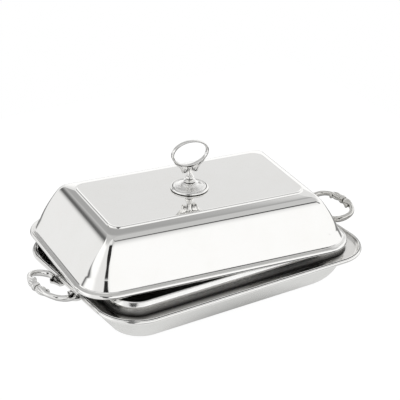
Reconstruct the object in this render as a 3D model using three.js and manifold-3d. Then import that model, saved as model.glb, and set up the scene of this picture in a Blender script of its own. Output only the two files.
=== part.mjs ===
// Covered vegetable dish in silver plate: a handled outer dish, an inner dish that lifts out of it,
// and a domed cover laid on askew, with a ring finial that unlocks by a quarter turn.
// Millimetres, +Z up, origin at the middle of the outer dish's underside, +X along the dish.
import * as THREE from "three";
import { mergeVertices } from "three/addons/utils/BufferGeometryUtils.js";
import Module from "manifold-3d";

// Outer dish
const DISH_LENGTH = 300;
const DISH_WIDTH = 194;
const DISH_CORNER = 41.5;
const RIM_HEIGHT = 41;
const DISH_SHEET = 1.4;
const FLOOR_INSET = 40;
const FLOOR_CORNER = 28;

// Rim bead and the ledge inside it
const BEAD_WIDTH = 3.2;
const BEAD_HEIGHT = 3.2;
const BEAD_OVERHANG = 1;
const BEAD_SINK = 0.8;
const EDGE_DROP = 3.8;
const EDGE_WIDTH = 2.4;
const LEDGE_DROP = 3.2;
const LEDGE_COVE = 4.8;
const LEDGE_WIDTH = 15.9;
const WALL_SETBACK = 1.3;

// Inner dish
const PART_GAP = 0.3;
const INSERT_SHEET = 1.2;
const INSERT_RISE = 12.5;
const COVE_LEAN = 1.8;
const WELL_FIT = 1.6;
const INSERT_FLOOR_GAP = 8.6;
const INSERT_FLOOR_RUN = 26;
const INSERT_FLOOR_CORNER = 24;
const LIP_WIDTH = 4.4;
const LIP_HEIGHT = 4.6;
const LIP_OVERHANG = 0.5;

// Cover
const COVER_FIT = 0.3;
const COVER_SHEET = 1.2;
const BORDER_WIDTH = 6.9;
const BORDER_HEIGHT = 8;
const BORDER_BEAD = 4;
const WALL_RISE = 40.3;
const WALL_LEAN_X = 25.3;
const WALL_LEAN_Y = 18.8;
const WALL_FLARE = 1.8;
const FLARE_RISE = 3;
const WALL_BULGE = 1;
const CROWN_CORNER = 5;
const CROWN_DROP = 10;
const CROWN_RUN = 5;
const SHOULDER_RISE = 2;
const SHOULDER_X = 7.3;
const SHOULDER_Y = 12.1;
const STEP_RISE = 1.2;
const STEP_WIDTH = 3.2;
const STEP_BEAD = 0.7;
const PANEL_CORNER = 9.5;

// How the cover lies on the inner dish's lip: shifted, turned, and dipping at its back left corner
const COVER_SHIFT_X = -8.2;
const COVER_SHIFT_Y = 7.1;
const COVER_TURN = THREE.MathUtils.degToRad(-8.27);
const COVER_TILT_X = THREE.MathUtils.degToRad(-1.29);
const COVER_TILT_Y = THREE.MathUtils.degToRad(-0.68);
const SEAT_SHARE = 0.5;

// Handles
const HANDLE_REACH = 31.6;
const HANDLE_SPREAD = 27.5;
const HANDLE_LIFT = 5.5;
const ARM_RADIUS = 2.1;
const LEAF_RADIUS = 3.1;
const NECK_RADIUS = 2.2;
const FOOT_RADIUS = 2.5;
const SCROLL_RADIUS = 2.9;
const SCROLL_LENGTH = 4.6;
const SCROLL_SETBACK = 5.4;
const SCROLL_SPREAD = 6.7;
const COLLAR_LENGTH = 5.2;
const COLLAR_WALL = 1.8;
const FOOT_TUCK = 3.2;
const FOOT_REACH = 7.5;
const FOOT_SPAN = 18;
const FOOT_THICKNESS = 2.2;

// Finial
const FOOT_BEAD_RADIUS = 18.6;
const FOOT_BEAD_WIDTH = 2;
const FOOT_BEAD_HEIGHT = 2.4;
const DOME_HEIGHT = 6.6;
const DOME_TOP_RADIUS = 7;
const LEAF_LENGTH = 4.2;
const LEAF_WIDTH = 3.2;
const LEAF_HEIGHT = 1.7;
const LEAF_PLACE = 12.4;
const KNOP_RADIUS = 8.4;
const KNOP_HEIGHT = 3;
const STEM_HEIGHT = 13.2;
const STEM_RADIUS = 5.2;
const STEM_WAIST = 2.3;
const RING_LENGTH = 39;
const RING_HEIGHT = 26.6;
const RING_BAND = 2.2;
const RING_DEPTH = 4.6;
const VOLUTE_RADIUS = 3;
const VOLUTE_DEPTH = 3.8;
const VOLUTE_DROP = 3.8;

// Lock under the crown
const STUD_RADIUS = 2.5;
const STUD_CLEARANCE = 0.3;
const STUD_SOCKET = 4.5;
const STUD_TIP = 2.4;
const LUG_RADIUS = 1.2;
const LUG_LENGTH = 14;
const LUG_PASS = 1.3;
const PLATE_RADIUS = 14;
const PLATE_THICKNESS = 1.6;

// Fineness of round shapes
const CORNER_STEPS = 8;
const WALL_STEPS = 6;
const TURN_STEPS = 32;
const RING_STEPS = 48;
const COLLAR_STEPS = 20;
const STUD_STEPS = 20;
const BAR_STEPS = 12;
const LEAF_STEPS = 4;
const BALL_STEPS = 8;
const TUBE_SIDES = 10;
const TUBE_STEPS = 32;

const SILVER = { color: 0xdcdcd8, roughness: 0.16, metalness: 1 };
const SATIN = { color: 0xc9c8c2, roughness: 0.34, metalness: 1 };
const CAST = { color: 0xb4b3ab, roughness: 0.3, metalness: 1 };

const wasm = await Module();
wasm.setup();

// Heights and insets that several pieces share
const seatZ = RIM_HEIGHT - BEAD_SINK;
const ledgeZ = seatZ - LEDGE_DROP;
const insertFootZ = ledgeZ + PART_GAP;
const lipSeatZ = ledgeZ + INSERT_RISE - LIP_HEIGHT;
const lipTopZ = lipSeatZ + LIP_HEIGHT;
const wallInset = LEDGE_WIDTH + WALL_SETBACK;
const wellInset = wallInset + DISH_SHEET;
const neckInset = wellInset + WELL_FIT;

// Cover heights, counted from its underside, and half sizes at each level
const crownZ = BORDER_HEIGHT + WALL_RISE;
const shoulderZ = crownZ + SHOULDER_RISE;
const panelZ = shoulderZ + STEP_RISE;
const footHalf = new THREE.Vector2(
  DISH_LENGTH / 2 - LEDGE_WIDTH + COVER_FIT + COVER_SHEET,
  DISH_WIDTH / 2 - LEDGE_WIDTH + COVER_FIT + COVER_SHEET,
);
const footCorner = DISH_CORNER - LEDGE_WIDTH + COVER_FIT + COVER_SHEET;
const crownHalf = footHalf.clone().sub(new THREE.Vector2(WALL_LEAN_X, WALL_LEAN_Y));
const stepHalf = crownHalf.clone().sub(new THREE.Vector2(SHOULDER_X, SHOULDER_Y));
const panelHalf = stepHalf.clone().subScalar(STEP_WIDTH);
const stepCorner = PANEL_CORNER + STEP_WIDTH;
const coverSeatZ = lipTopZ + PART_GAP + Math.sin(-COVER_TILT_X) * DISH_WIDTH / 2 * SEAT_SHARE;

// Removes doubled vertices and empty faces, and turns the faces outwards
function closedBody(geometry) {
  geometry.deleteAttribute("normal");
  geometry.deleteAttribute("uv");
  const merged = mergeVertices(geometry);
  const place = merged.getAttribute("position");
  const index = [...merged.getIndex().array];
  const kept = [];
  const [a, b, c] = [new THREE.Vector3(), new THREE.Vector3(), new THREE.Vector3()];
  let volume = 0;
  for (let i = 0; i < index.length; i += 3) {
    const [p, q, r] = index.slice(i, i + 3);
    if (p === q || q === r || r === p) continue;
    volume += a.fromBufferAttribute(place, p).dot(
      b.fromBufferAttribute(place, q).cross(c.fromBufferAttribute(place, r)),
    );
    kept.push([p, q, r]);
  }
  merged.setIndex(kept.flatMap((face) => (volume < 0 ? face.reverse() : face)));
  return merged;
}

// Skin over rings of points, capped at both ends or joined into a loop
function skin(rings, loop) {
  const count = rings[0].length;
  const index = [];
  const last = loop ? rings.length : rings.length - 1;
  for (let k = 0; k < last; k++) {
    const low = k * count;
    const high = ((k + 1) % rings.length) * count;
    for (let i = 0; i < count; i++) {
      const j = (i + 1) % count;
      index.push(low + i, low + j, high + j, low + i, high + j, high + i);
    }
  }
  if (!loop) {
    const end = (rings.length - 1) * count;
    for (let i = 1; i < count - 1; i++) {
      index.push(0, i + 1, i, end, end + i, end + i + 1);
    }
  }
  const geometry = new THREE.BufferGeometry().setFromPoints(rings.flat());
  geometry.setIndex(index);
  return closedBody(geometry);
}

// Level outline of a rounded rectangle at height z
function roundedRing({ halfX, halfY, corner, z }) {
  const points = [];
  const quarters = [[1, 1], [-1, 1], [-1, -1], [1, -1]];
  quarters.forEach(([signX, signY], quarter) => {
    for (let i = 0; i <= CORNER_STEPS; i++) {
      const angle = (quarter + i / CORNER_STEPS) * Math.PI / 2;
      points.push(new THREE.Vector3(
        signX * (halfX - corner) + corner * Math.cos(angle),
        signY * (halfY - corner) + corner * Math.sin(angle),
        z,
      ));
    }
  });
  return points;
}

function levelBody(levels, loop = false) {
  return skin(levels.map(roundedRing), loop);
}

// Level at a given inset from the dish's outline
function dishLevel(inset, z, corner = DISH_CORNER - inset) {
  return { halfX: DISH_LENGTH / 2 - inset, halfY: DISH_WIDTH / 2 - inset, corner, z };
}

// Level of the cover, grown outwards from a half size
function coverLevel(half, corner, grow, z) {
  return { halfX: half.x + grow, halfY: half.y + grow, corner: corner + grow, z };
}

// Belly of a raised dish, from its top edge in and down to its flat floor, as inset and height
function bellyCurve(topInset, topZ, floorInset, floorZ) {
  const bellyShares = [[0, 1], [0.06, 0.56], [0.3, 0], [1, 0]];
  const run = floorInset - topInset;
  const drop = topZ - floorZ;
  const points = bellyShares.map(([across, up]) => new THREE.Vector2(topInset + run * across, floorZ + drop * up));
  return new THREE.CubicBezierCurve(...points);
}

// Levels down a belly, moved inwards by a thickness
function bellyLevels(curve, thickness, topCorner, floorCorner) {
  const levels = [];
  for (let i = 0; i <= WALL_STEPS; i++) {
    const share = i / WALL_STEPS;
    const point = curve.getPoint(share);
    const along = curve.getTangent(share);
    const corner = THREE.MathUtils.lerp(topCorner, floorCorner, share) - thickness;
    levels.push(dishLevel(point.x - along.y * thickness, point.y + along.x * thickness, corner));
  }
  return levels;
}

// Outer dish: belly, flange with its thick edge and cove, ledge and well
function dishBody() {
  const underZ = ledgeZ - DISH_SHEET;
  const outer = bellyCurve(wallInset, underZ, FLOOR_INSET, 0);
  const topCorner = DISH_CORNER - wallInset;
  const outside = bellyLevels(outer, 0, topCorner, FLOOR_CORNER).reverse();
  const inside = bellyLevels(outer, DISH_SHEET, topCorner, FLOOR_CORNER);
  const coveEnd = BEAD_WIDTH + LEDGE_COVE;
  const coveShares = [[0.18, 0.56], [0.64, 0.94]];
  const coveTop = coveShares.map(([across, down]) => dishLevel(
    BEAD_WIDTH + LEDGE_COVE * across,
    seatZ - LEDGE_DROP * down,
  ));
  const underShares = [[0.18, 0.66], [0.6, 0.94]];
  const coveUnder = underShares.map(([across, down]) => dishLevel(
    BEAD_WIDTH + LEDGE_COVE * across,
    seatZ - DISH_SHEET - LEDGE_DROP * down,
  ));
  const edgeShares = [[1, 1], [0.3, 1], [0.08, 0.85], [0, 0.5], [0.08, 0.16]];
  const edge = edgeShares.map(([across, down]) => dishLevel(
    BEAD_OVERHANG / 2 + EDGE_WIDTH * across,
    seatZ - EDGE_DROP * down,
  ));
  const wellEdge = DISH_SHEET / 2;
  const flange = [
    dishLevel(coveEnd, underZ),
    ...coveUnder.reverse(),
    ...edge,
    dishLevel(BEAD_OVERHANG, seatZ),
    dishLevel(BEAD_WIDTH, seatZ),
    ...coveTop,
    dishLevel(coveEnd, ledgeZ),
    dishLevel(wellInset - wellEdge, ledgeZ),
    dishLevel(wellInset, ledgeZ - wellEdge),
  ];
  return levelBody([...outside, ...flange, ...inside.slice(1)]);
}

// Ring of half-round section standing on a flat seat, from an outer and an inner level
function beadRing(outerLevel, width, height, seat) {
  const sectionShares = [
    [0.04, 0], [0, 0.26], [0.08, 0.62], [0.27, 0.9], [0.5, 1], [0.73, 0.9], [0.92, 0.62], [1, 0.26], [0.96, 0],
  ];
  const levels = sectionShares.map(([across, up]) => outerLevel(width * across, seat + height * up));
  return levelBody(levels, true);
}

// Inner dish: pan, shoulder on the ledge, coved upright wall and a turned-in edge that carries the lip
function insertBody() {
  const floorZ = DISH_SHEET + INSERT_FLOOR_GAP;
  const floorInset = neckInset + INSERT_FLOOR_RUN;
  const outer = bellyCurve(neckInset, insertFootZ, floorInset, floorZ);
  const topCorner = DISH_CORNER - neckInset;
  const outside = bellyLevels(outer, 0, topCorner, INSERT_FLOOR_CORNER).reverse();
  const inside = bellyLevels(outer, INSERT_SHEET, topCorner, INSERT_FLOOR_CORNER);
  const wallRise = lipSeatZ - insertFootZ;
  const coveShares = [[0, 0.06], [0.36, 0.24], [0.72, 0.52], [0.94, 0.82]];
  const cove = coveShares.map(([across, up]) => dishLevel(
    LEDGE_WIDTH + COVE_LEAN * across,
    insertFootZ + wallRise * up,
  ));
  const wallTop = LEDGE_WIDTH + COVE_LEAN;
  const wallInside = wallTop + INSERT_SHEET;
  const edgeInside = wallTop + LIP_WIDTH - LIP_OVERHANG * 2;
  const shoulderTop = insertFootZ + INSERT_SHEET;
  const collar = [
    dishLevel(LEDGE_WIDTH, insertFootZ),
    ...cove,
    dishLevel(wallTop, lipSeatZ),
    dishLevel(edgeInside, lipSeatZ),
    dishLevel(edgeInside, lipSeatZ - INSERT_SHEET),
    dishLevel(wallInside, lipSeatZ - INSERT_SHEET),
    dishLevel(LEDGE_WIDTH + COVE_LEAN * 0.5 + INSERT_SHEET, shoulderTop + INSERT_SHEET),
    dishLevel(LEDGE_WIDTH + COVE_LEAN * 0.5 + INSERT_SHEET * 1.5, shoulderTop),
    dishLevel(neckInset + INSERT_SHEET, shoulderTop),
  ];
  return levelBody([...outside, ...collar, ...inside]);
}

// Moulded border round the cover's foot: a bead, a groove and a cove up to the wall
function coverBorder() {
  const inner = PART_GAP;
  const bead = BORDER_BEAD;
  const cove = BORDER_HEIGHT - BORDER_BEAD;
  const beadShares = [[0.5, 0], [0.15, 0.15], [0, 0.5], [0.15, 0.85], [0.42, 1]];
  const coveShares = [[0.4, 0], [0.43, 0.12], [0.5, 0.38], [0.66, 0.72], [0.9, 0.95]];
  const beadLevels = beadShares.map(([across, up]) => [bead * across, bead * up]);
  const coveLevels = coveShares.map(([across, up]) => [BORDER_WIDTH * across, bead + cove * up]);
  const levels = [...beadLevels, ...coveLevels, [BORDER_WIDTH, BORDER_HEIGHT - PART_GAP], [BORDER_WIDTH, 0]];
  const outline = levels.map(([inset, z]) => coverLevel(
    footHalf,
    footCorner,
    inner + BORDER_WIDTH - inset,
    z,
  ));
  return levelBody(outline, true);
}

// Half length, half width, corner and height of a cover level as one point that can be blended
function levelPoint(half, corner, grow, z) {
  return new THREE.Vector4(half.x + grow, half.y + grow, corner + grow, z);
}

// Levels of a bend from one point to another with its corner between them
function bentLevels(from, corner, to, shares) {
  return shares.map((share) => {
    const point = from.clone().lerp(corner, share).lerp(corner.clone().lerp(to, share), share);
    return { halfX: point.x, halfY: point.y, corner: point.z, z: point.w };
  });
}

// Levels up the cover's wall, moved inwards: a small flare, a slight bulge and a rounded crown
function wallLevels(inwards) {
  const low = levelPoint(footHalf, footCorner, -inwards - WALL_FLARE, BORDER_HEIGHT + FLARE_RISE);
  const crown = levelPoint(crownHalf, CROWN_CORNER, -inwards, crownZ - inwards);
  const step = levelPoint(stepHalf, stepCorner, -inwards, shoulderZ - inwards);
  const below = crown.clone().lerp(low, CROWN_DROP / WALL_RISE);
  const beyond = crown.clone().lerp(step, CROWN_RUN / SHOULDER_Y);
  const middle = low.clone().lerp(below, 0.5).add(new THREE.Vector4(WALL_BULGE * 2, WALL_BULGE * 2, 0, 0));
  const wallShares = [0, 0.25, 0.5, 0.75];
  const crownShares = [0, 0.2, 0.4, 0.6, 0.8, 1];
  return [
    coverLevel(footHalf, footCorner, -inwards, BORDER_HEIGHT - inwards / 2),
    ...bentLevels(low, middle, below, wallShares),
    ...bentLevels(below, crown, beyond, crownShares),
    coverLevel(stepHalf, stepCorner, -inwards, shoulderZ - inwards),
  ];
}

// Cover shell: straight foot, sloping walls, rounded crown, shoulder, raised step and flat panel
function coverShell() {
  const sheet = COVER_SHEET;
  const holeRadius = LUG_LENGTH / 2 + LUG_PASS;
  const hole = new THREE.Vector2(holeRadius, holeRadius);
  const holeCorner = holeRadius * 0.95;
  const beadZ = panelZ + STEP_BEAD;
  const outside = [
    coverLevel(footHalf, footCorner, 0, 0),
    ...wallLevels(0),
    coverLevel(stepHalf, stepCorner, -STEP_WIDTH * 0.08, shoulderZ + STEP_RISE * 0.75),
    coverLevel(stepHalf, stepCorner, -STEP_WIDTH * 0.4, beadZ),
    coverLevel(stepHalf, stepCorner, -STEP_WIDTH * 0.7, beadZ),
    coverLevel(panelHalf, PANEL_CORNER, 0, panelZ),
    coverLevel(hole, holeCorner, 0, panelZ),
  ];
  const inside = [
    coverLevel(hole, holeCorner, 0, panelZ - sheet),
    coverLevel(panelHalf, PANEL_CORNER, -sheet / 2, panelZ - sheet),
    ...wallLevels(sheet).reverse(),
    coverLevel(footHalf, footCorner, -sheet, 0),
  ];
  return levelBody([...outside, ...inside], true);
}

// Body turned about the upright axis from a profile of radius and height
function turned(profile, steps = TURN_STEPS) {
  const points = profile.map(([radius, height]) => new THREE.Vector2(radius, height));
  const geometry = new THREE.LatheGeometry(points, steps);
  geometry.rotateX(Math.PI / 2);
  return closedBody(geometry);
}

// Turned ring: its outside profile, closed along a straight bore
function turnedRing(profile, bore, steps = TURN_STEPS) {
  const [first, last] = [profile[0], profile[profile.length - 1]];
  return turned([[bore, first[1]], ...profile, [bore, last[1]], [bore, first[1]]], steps);
}

// Flat shape in the XZ plane with a depth along Y, centred on the plane
function uprightPlate(shape, depth, curveSegments = TURN_STEPS) {
  const geometry = new THREE.ExtrudeGeometry(shape, { depth, bevelEnabled: false, curveSegments });
  geometry.translate(0, 0, -depth / 2);
  geometry.rotateX(Math.PI / 2);
  return closedBody(geometry);
}

// Flat shape in the XY plane, thickened upwards from height z
function levelPlate(shape, thickness, z, curveSegments = TURN_STEPS) {
  const geometry = new THREE.ExtrudeGeometry(shape, { depth: thickness, bevelEnabled: false, curveSegments });
  geometry.translate(0, 0, z);
  return closedBody(geometry);
}

function toSolid(geometry) {
  const vertProperties = new Float32Array(geometry.getAttribute("position").array);
  const triVerts = new Uint32Array(geometry.getIndex().array);
  return new wasm.Manifold(new wasm.Mesh({ numProp: 3, vertProperties, triVerts }));
}

function fromSolid(solid) {
  const { vertProperties, triVerts } = solid.getMesh();
  const geometry = new THREE.BufferGeometry();
  geometry.setAttribute("position", new THREE.BufferAttribute(new Float32Array(vertProperties), 3));
  geometry.setIndex(new THREE.BufferAttribute(new Uint32Array(triVerts), 1));
  return closedBody(geometry);
}

// Tube whose radius changes along a curve
function taperedTube(curve, radiusAt) {
  const { normals, binormals } = curve.computeFrenetFrames(TUBE_STEPS, false);
  const rings = normals.map((normal, step) => {
    const share = step / TUBE_STEPS;
    const centre = curve.getPointAt(share);
    const radius = radiusAt(share);
    return Array.from({ length: TUBE_SIDES }, (_, side) => {
      const angle = side / TUBE_SIDES * Math.PI * 2;
      return centre.clone()
        .addScaledVector(normal, radius * Math.cos(angle))
        .addScaledVector(binormals[step], radius * Math.sin(angle));
    });
  });
  return skin(rings, false);
}

// Top of the feet, counted from the rim's height, where each handle has its origin
const footPlateTop = -BEAD_SINK - EDGE_DROP;

// Handle bow: one cast piece with swelling leaf-wrapped stretches and two scrolls that curl inwards
function handleBow() {
  const pathShares = [
    [0.1, 0.68, 0.04], [0.17, 0.85, 0.16], [0.34, 0.965, 0.34], [0.54, 0.985, 0.56],
    [0.73, 0.91, 0.76], [0.88, 0.71, 0.92], [0.98, 0.42, 1],
  ];
  const footTop = footPlateTop + PART_GAP + FOOT_RADIUS;
  const half = pathShares.map(([out, aside, up]) => new THREE.Vector3(
    HANDLE_REACH * out,
    HANDLE_SPREAD * aside,
    THREE.MathUtils.lerp(footTop, HANDLE_LIFT, up),
  ));
  const middle = new THREE.Vector3(HANDLE_REACH, 0, HANDLE_LIFT);
  const mirrored = half.map((point) => new THREE.Vector3(point.x, -point.y, point.z)).reverse();
  const path = new THREE.CatmullRomCurve3([...half, middle, ...mirrored]);
  const swell = new THREE.SplineCurve([
    [0, NECK_RADIUS], [0.08, NECK_RADIUS], [0.15, LEAF_RADIUS * 0.92], [0.23, LEAF_RADIUS],
    [0.38, LEAF_RADIUS * 0.8], [0.58, ARM_RADIUS], [0.85, ARM_RADIUS], [1, FOOT_RADIUS],
  ].map(([share, radius]) => new THREE.Vector2(share, radius)));
  const radii = swell.getPoints(TUBE_STEPS * 4);
  const radiusAt = (share) => {
    const fromMiddle = Math.abs(share * 2 - 1);
    return radii.reduce((best, point) => (
      Math.abs(point.x - fromMiddle) < Math.abs(best.x - fromMiddle) ? point : best
    )).y;
  };
  let solid = toSolid(taperedTube(path, radiusAt));
  for (const side of [1, -1]) {
    const scroll = new THREE.SphereGeometry(SCROLL_RADIUS, BALL_STEPS * 2, BALL_STEPS);
    scroll.rotateX(Math.PI / 2);
    scroll.scale(SCROLL_LENGTH / SCROLL_RADIUS, 1, 1);
    scroll.translate(HANDLE_REACH - SCROLL_SETBACK, side * SCROLL_SPREAD, HANDLE_LIFT);
    solid = solid.add(toSolid(closedBody(scroll)));
  }
  return fromSolid(solid);
}

// Collar of three beads round the middle of the bow, turned about Y
function handleCollar() {
  const profileShares = [
    [0.5, -0.5], [0.67, -0.42], [0.5, -0.29], [0.85, -0.19], [1, 0], [0.85, 0.19], [0.5, 0.29], [0.67, 0.42], [0.5, 0.5],
  ];
  const bore = NECK_RADIUS + PART_GAP * 1.6;
  const profile = profileShares.map(([out, along]) => [bore + COLLAR_WALL * out, COLLAR_LENGTH * along]);
  const geometry = turnedRing(profile, bore, COLLAR_STEPS);
  geometry.rotateX(-Math.PI / 2);
  geometry.translate(HANDLE_REACH, 0, HANDLE_LIFT);
  return geometry;
}

// Leaf-shaped foot soldered under the thick edge of the flange
function handleFoot(side) {
  const half = FOOT_SPAN / 2;
  const tip = FOOT_REACH;
  const centre = HANDLE_SPREAD * 0.56;
  const point = (out, along) => new THREE.Vector2(out, side * (centre + half * along));
  const shape = new THREE.Shape();
  const start = point(-FOOT_TUCK, -0.85);
  const outline = [
    [point(0, -1), point(tip * 0.35, -0.9)],
    [point(tip * 0.5, -0.25), point(tip * 0.8, 0)],
    [point(tip * 1.1, 0.2), point(tip * 0.8, 0.55)],
    [point(tip * 0.55, 0.85), point(tip * 0.2, 0.95)],
    [point(0, 1), point(-FOOT_TUCK, 0.9)],
  ];
  shape.moveTo(start.x, start.y);
  for (const [bend, end] of outline) {
    shape.quadraticCurveTo(bend.x, bend.y, end.x, end.y);
  }
  shape.closePath();
  return levelPlate(shape, FOOT_THICKNESS, footPlateTop - FOOT_THICKNESS, LEAF_STEPS);
}

// Finial heights, counted from the cover's underside
const footBeadZ = panelZ + PART_GAP;
const domeTopZ = footBeadZ + DOME_HEIGHT;
const knopZ = domeTopZ + PART_GAP;
const stemZ = knopZ + KNOP_HEIGHT + PART_GAP;
const stemTopZ = stemZ + STEM_HEIGHT;
const ringZ = stemTopZ + PART_GAP + RING_HEIGHT / 2;
const plateZ = panelZ - COVER_SHEET - PART_GAP - PLATE_THICKNESS;
const lugZ = plateZ - PART_GAP - LUG_RADIUS;
const studBore = STUD_RADIUS + STUD_CLEARANCE;

function finialFootBead() {
  const profileShares = [[0, 0], [0.7, 0], [1, 0.35], [1, 0.65], [0.7, 1], [0, 1]];
  const inner = FOOT_BEAD_RADIUS - FOOT_BEAD_WIDTH;
  const profile = profileShares.map(([out, up]) => [inner + FOOT_BEAD_WIDTH * out, footBeadZ + FOOT_BEAD_HEIGHT * up]);
  return turned([...profile, profile[0]]);
}

// Domed base with a leaf in low relief at each side, bored for the stud
function finialDome() {
  const outer = FOOT_BEAD_RADIUS - FOOT_BEAD_WIDTH - PART_GAP;
  const domeShares = [[1, 0], [1, 0.34], [0.9, 0.5], [0.62, 0.72], [0.3, 0.82], [0.08, 0.92], [0, 1]];
  const profile = domeShares.map(([out, up]) => [
    DOME_TOP_RADIUS + (outer - DOME_TOP_RADIUS) * out,
    footBeadZ + DOME_HEIGHT * up,
  ]);
  let solid = toSolid(turnedRing(profile, studBore));
  for (const side of [1, -1]) {
    const leaf = new THREE.SphereGeometry(1, BALL_STEPS * 2, BALL_STEPS);
    leaf.scale(LEAF_LENGTH, LEAF_WIDTH, LEAF_HEIGHT);
    leaf.rotateY(side * Math.atan2(DOME_HEIGHT * 0.4, outer - DOME_TOP_RADIUS));
    leaf.translate(side * LEAF_PLACE, 0, footBeadZ + DOME_HEIGHT * 0.62);
    solid = solid.add(toSolid(closedBody(leaf)));
  }
  return fromSolid(solid);
}

function finialKnop() {
  const profileShares = [[0.82, 0], [0.97, 0.12], [1, 0.28], [0.9, 0.46], [0.86, 0.54], [0.92, 0.7], [0.86, 0.9], [0.7, 1]];
  const profile = profileShares.map(([out, up]) => [KNOP_RADIUS * out, knopZ + KNOP_HEIGHT * up]);
  return turnedRing(profile, studBore);
}

// Waisted stem with a blind socket for the stud
function finialStem() {
  const profileShares = [[0.94, 0], [1, 0.1], [0.96, 0.22], [0.78, 0.3], [0.86, 0.38], [0.8, 0.44]];
  const waistShares = [[1, 0.56], [0.86, 0.76], [1, 1]];
  const outside = profileShares.map(([out, up]) => [STEM_RADIUS * out, stemZ + STEM_HEIGHT * up]);
  const waist = waistShares.map(([out, up]) => [STEM_WAIST * out, stemZ + STEM_HEIGHT * up]);
  return turned([
    [0, stemZ + STUD_SOCKET],
    [studBore, stemZ + STUD_SOCKET],
    [studBore, stemZ],
    ...outside,
    ...waist,
    [0, stemTopZ],
  ]);
}

// Oval ring that the cover is lifted by
function finialRing() {
  const shape = new THREE.Shape();
  shape.absellipse(0, 0, RING_LENGTH / 2, RING_HEIGHT / 2, 0, Math.PI * 2);
  const hole = new THREE.Path();
  hole.absellipse(0, 0, RING_LENGTH / 2 - RING_BAND, RING_HEIGHT / 2 - RING_BAND, 0, Math.PI * 2);
  shape.holes.push(hole);
  const geometry = uprightPlate(shape, RING_DEPTH, RING_STEPS);
  geometry.translate(0, 0, ringZ);
  return geometry;
}

// Scroll between the stem and the underside of the ring, for the right side
function voluteShape() {
  const centre = new THREE.Vector2(STEM_WAIST + PART_GAP + VOLUTE_RADIUS, stemTopZ - VOLUTE_DROP);
  const outerX = RING_LENGTH / 2 + PART_GAP;
  const outerZ = RING_HEIGHT / 2 + PART_GAP;
  const onRing = (angle) => [outerX * Math.cos(angle), ringZ + outerZ * Math.sin(angle)];
  const from = -Math.PI * 0.42;
  const to = -Math.PI * 0.25;
  const shape = new THREE.Shape();
  shape.moveTo(...onRing(from));
  shape.absarc(centre.x, centre.y, VOLUTE_RADIUS, Math.PI, Math.PI * 2, false);
  shape.quadraticCurveTo(centre.x + VOLUTE_RADIUS, centre.y + VOLUTE_RADIUS, ...onRing(to));
  shape.absellipse(0, ringZ, outerX, outerZ, to, from, true);
  return shape;
}

function finialVolute(side) {
  const geometry = uprightPlate(voluteShape(), VOLUTE_DEPTH, BALL_STEPS);
  if (side < 0) geometry.rotateZ(Math.PI);
  return geometry;
}

// Round bar along X at the height of the lugs
function crossBar(radius, length) {
  const bar = new THREE.CylinderGeometry(radius, radius, length, BAR_STEPS);
  bar.rotateZ(Math.PI / 2);
  bar.translate(0, 0, lugZ);
  return closedBody(bar);
}

// Stud with a cross hole for the lug bar
function finialStud() {
  const tipZ = lugZ - LUG_RADIUS - STUD_TIP;
  const topZ = stemZ + STUD_SOCKET - PART_GAP;
  const bevel = STUD_RADIUS * 0.2;
  const stud = turned([
    [0, tipZ], [STUD_RADIUS - bevel, tipZ], [STUD_RADIUS, tipZ + bevel], [STUD_RADIUS, topZ], [0, topZ],
  ], STUD_STEPS);
  const hole = crossBar(LUG_RADIUS + PART_GAP, STUD_RADIUS * 4);
  return fromSolid(toSolid(stud).subtract(toSolid(hole)));
}

// Round plate under the crown with a keyhole: the lug bar passes only when it lies along Y
function lockPlate() {
  const shape = new THREE.Shape();
  shape.absarc(0, 0, PLATE_RADIUS, 0, Math.PI * 2);
  const bore = studBore;
  const slotHalf = LUG_RADIUS + PART_GAP * 2;
  const slotEnd = LUG_LENGTH / 2 + PART_GAP * 2;
  const lift = Math.asin(slotHalf / bore);
  const hole = new THREE.Path();
  hole.moveTo(slotHalf, slotEnd);
  hole.lineTo(-slotHalf, slotEnd);
  hole.absarc(0, 0, bore, Math.PI / 2 + lift, Math.PI * 1.5 - lift, false);
  hole.lineTo(-slotHalf, -slotEnd);
  hole.lineTo(slotHalf, -slotEnd);
  hole.absarc(0, 0, bore, -Math.PI / 2 + lift, Math.PI / 2 - lift, false);
  hole.closePath();
  shape.holes.push(hole);
  return levelPlate(shape, PLATE_THICKNESS, plateZ, BAR_STEPS);
}

function piece(name, geometry, finish) {
  const mesh = new THREE.Mesh(geometry, new THREE.MeshStandardMaterial(finish));
  mesh.name = name;
  return mesh;
}

const group = new THREE.Group();

// The outer dish and the inner dish
group.add(piece("outer_dish", dishBody(), SATIN));
group.add(piece("rim_bead", beadRing((inset, z) => dishLevel(inset, z), BEAD_WIDTH, BEAD_HEIGHT, seatZ), SILVER));
group.add(piece("inner_dish", insertBody(), SILVER));
const lipStart = LEDGE_WIDTH + COVE_LEAN - LIP_OVERHANG;
group.add(piece(
  "inner_dish_lip",
  beadRing((inset, z) => dishLevel(lipStart + inset, z), LIP_WIDTH, LIP_HEIGHT, lipSeatZ),
  SILVER,
));

// One handle at each end, alike under half a turn
for (const [end, turn] of [["right", 0], ["left", Math.PI]]) {
  const handle = new THREE.Group();
  handle.add(piece(`${end}_handle_bow`, handleBow(), CAST));
  handle.add(piece(`${end}_handle_collar`, handleCollar(), CAST));
  handle.add(piece(`${end}_handle_foot_a`, handleFoot(1), CAST));
  handle.add(piece(`${end}_handle_foot_b`, handleFoot(-1), CAST));
  handle.rotation.z = turn;
  handle.position.set(Math.cos(turn) * DISH_LENGTH / 2, 0, RIM_HEIGHT);
  group.add(handle);
}

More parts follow.
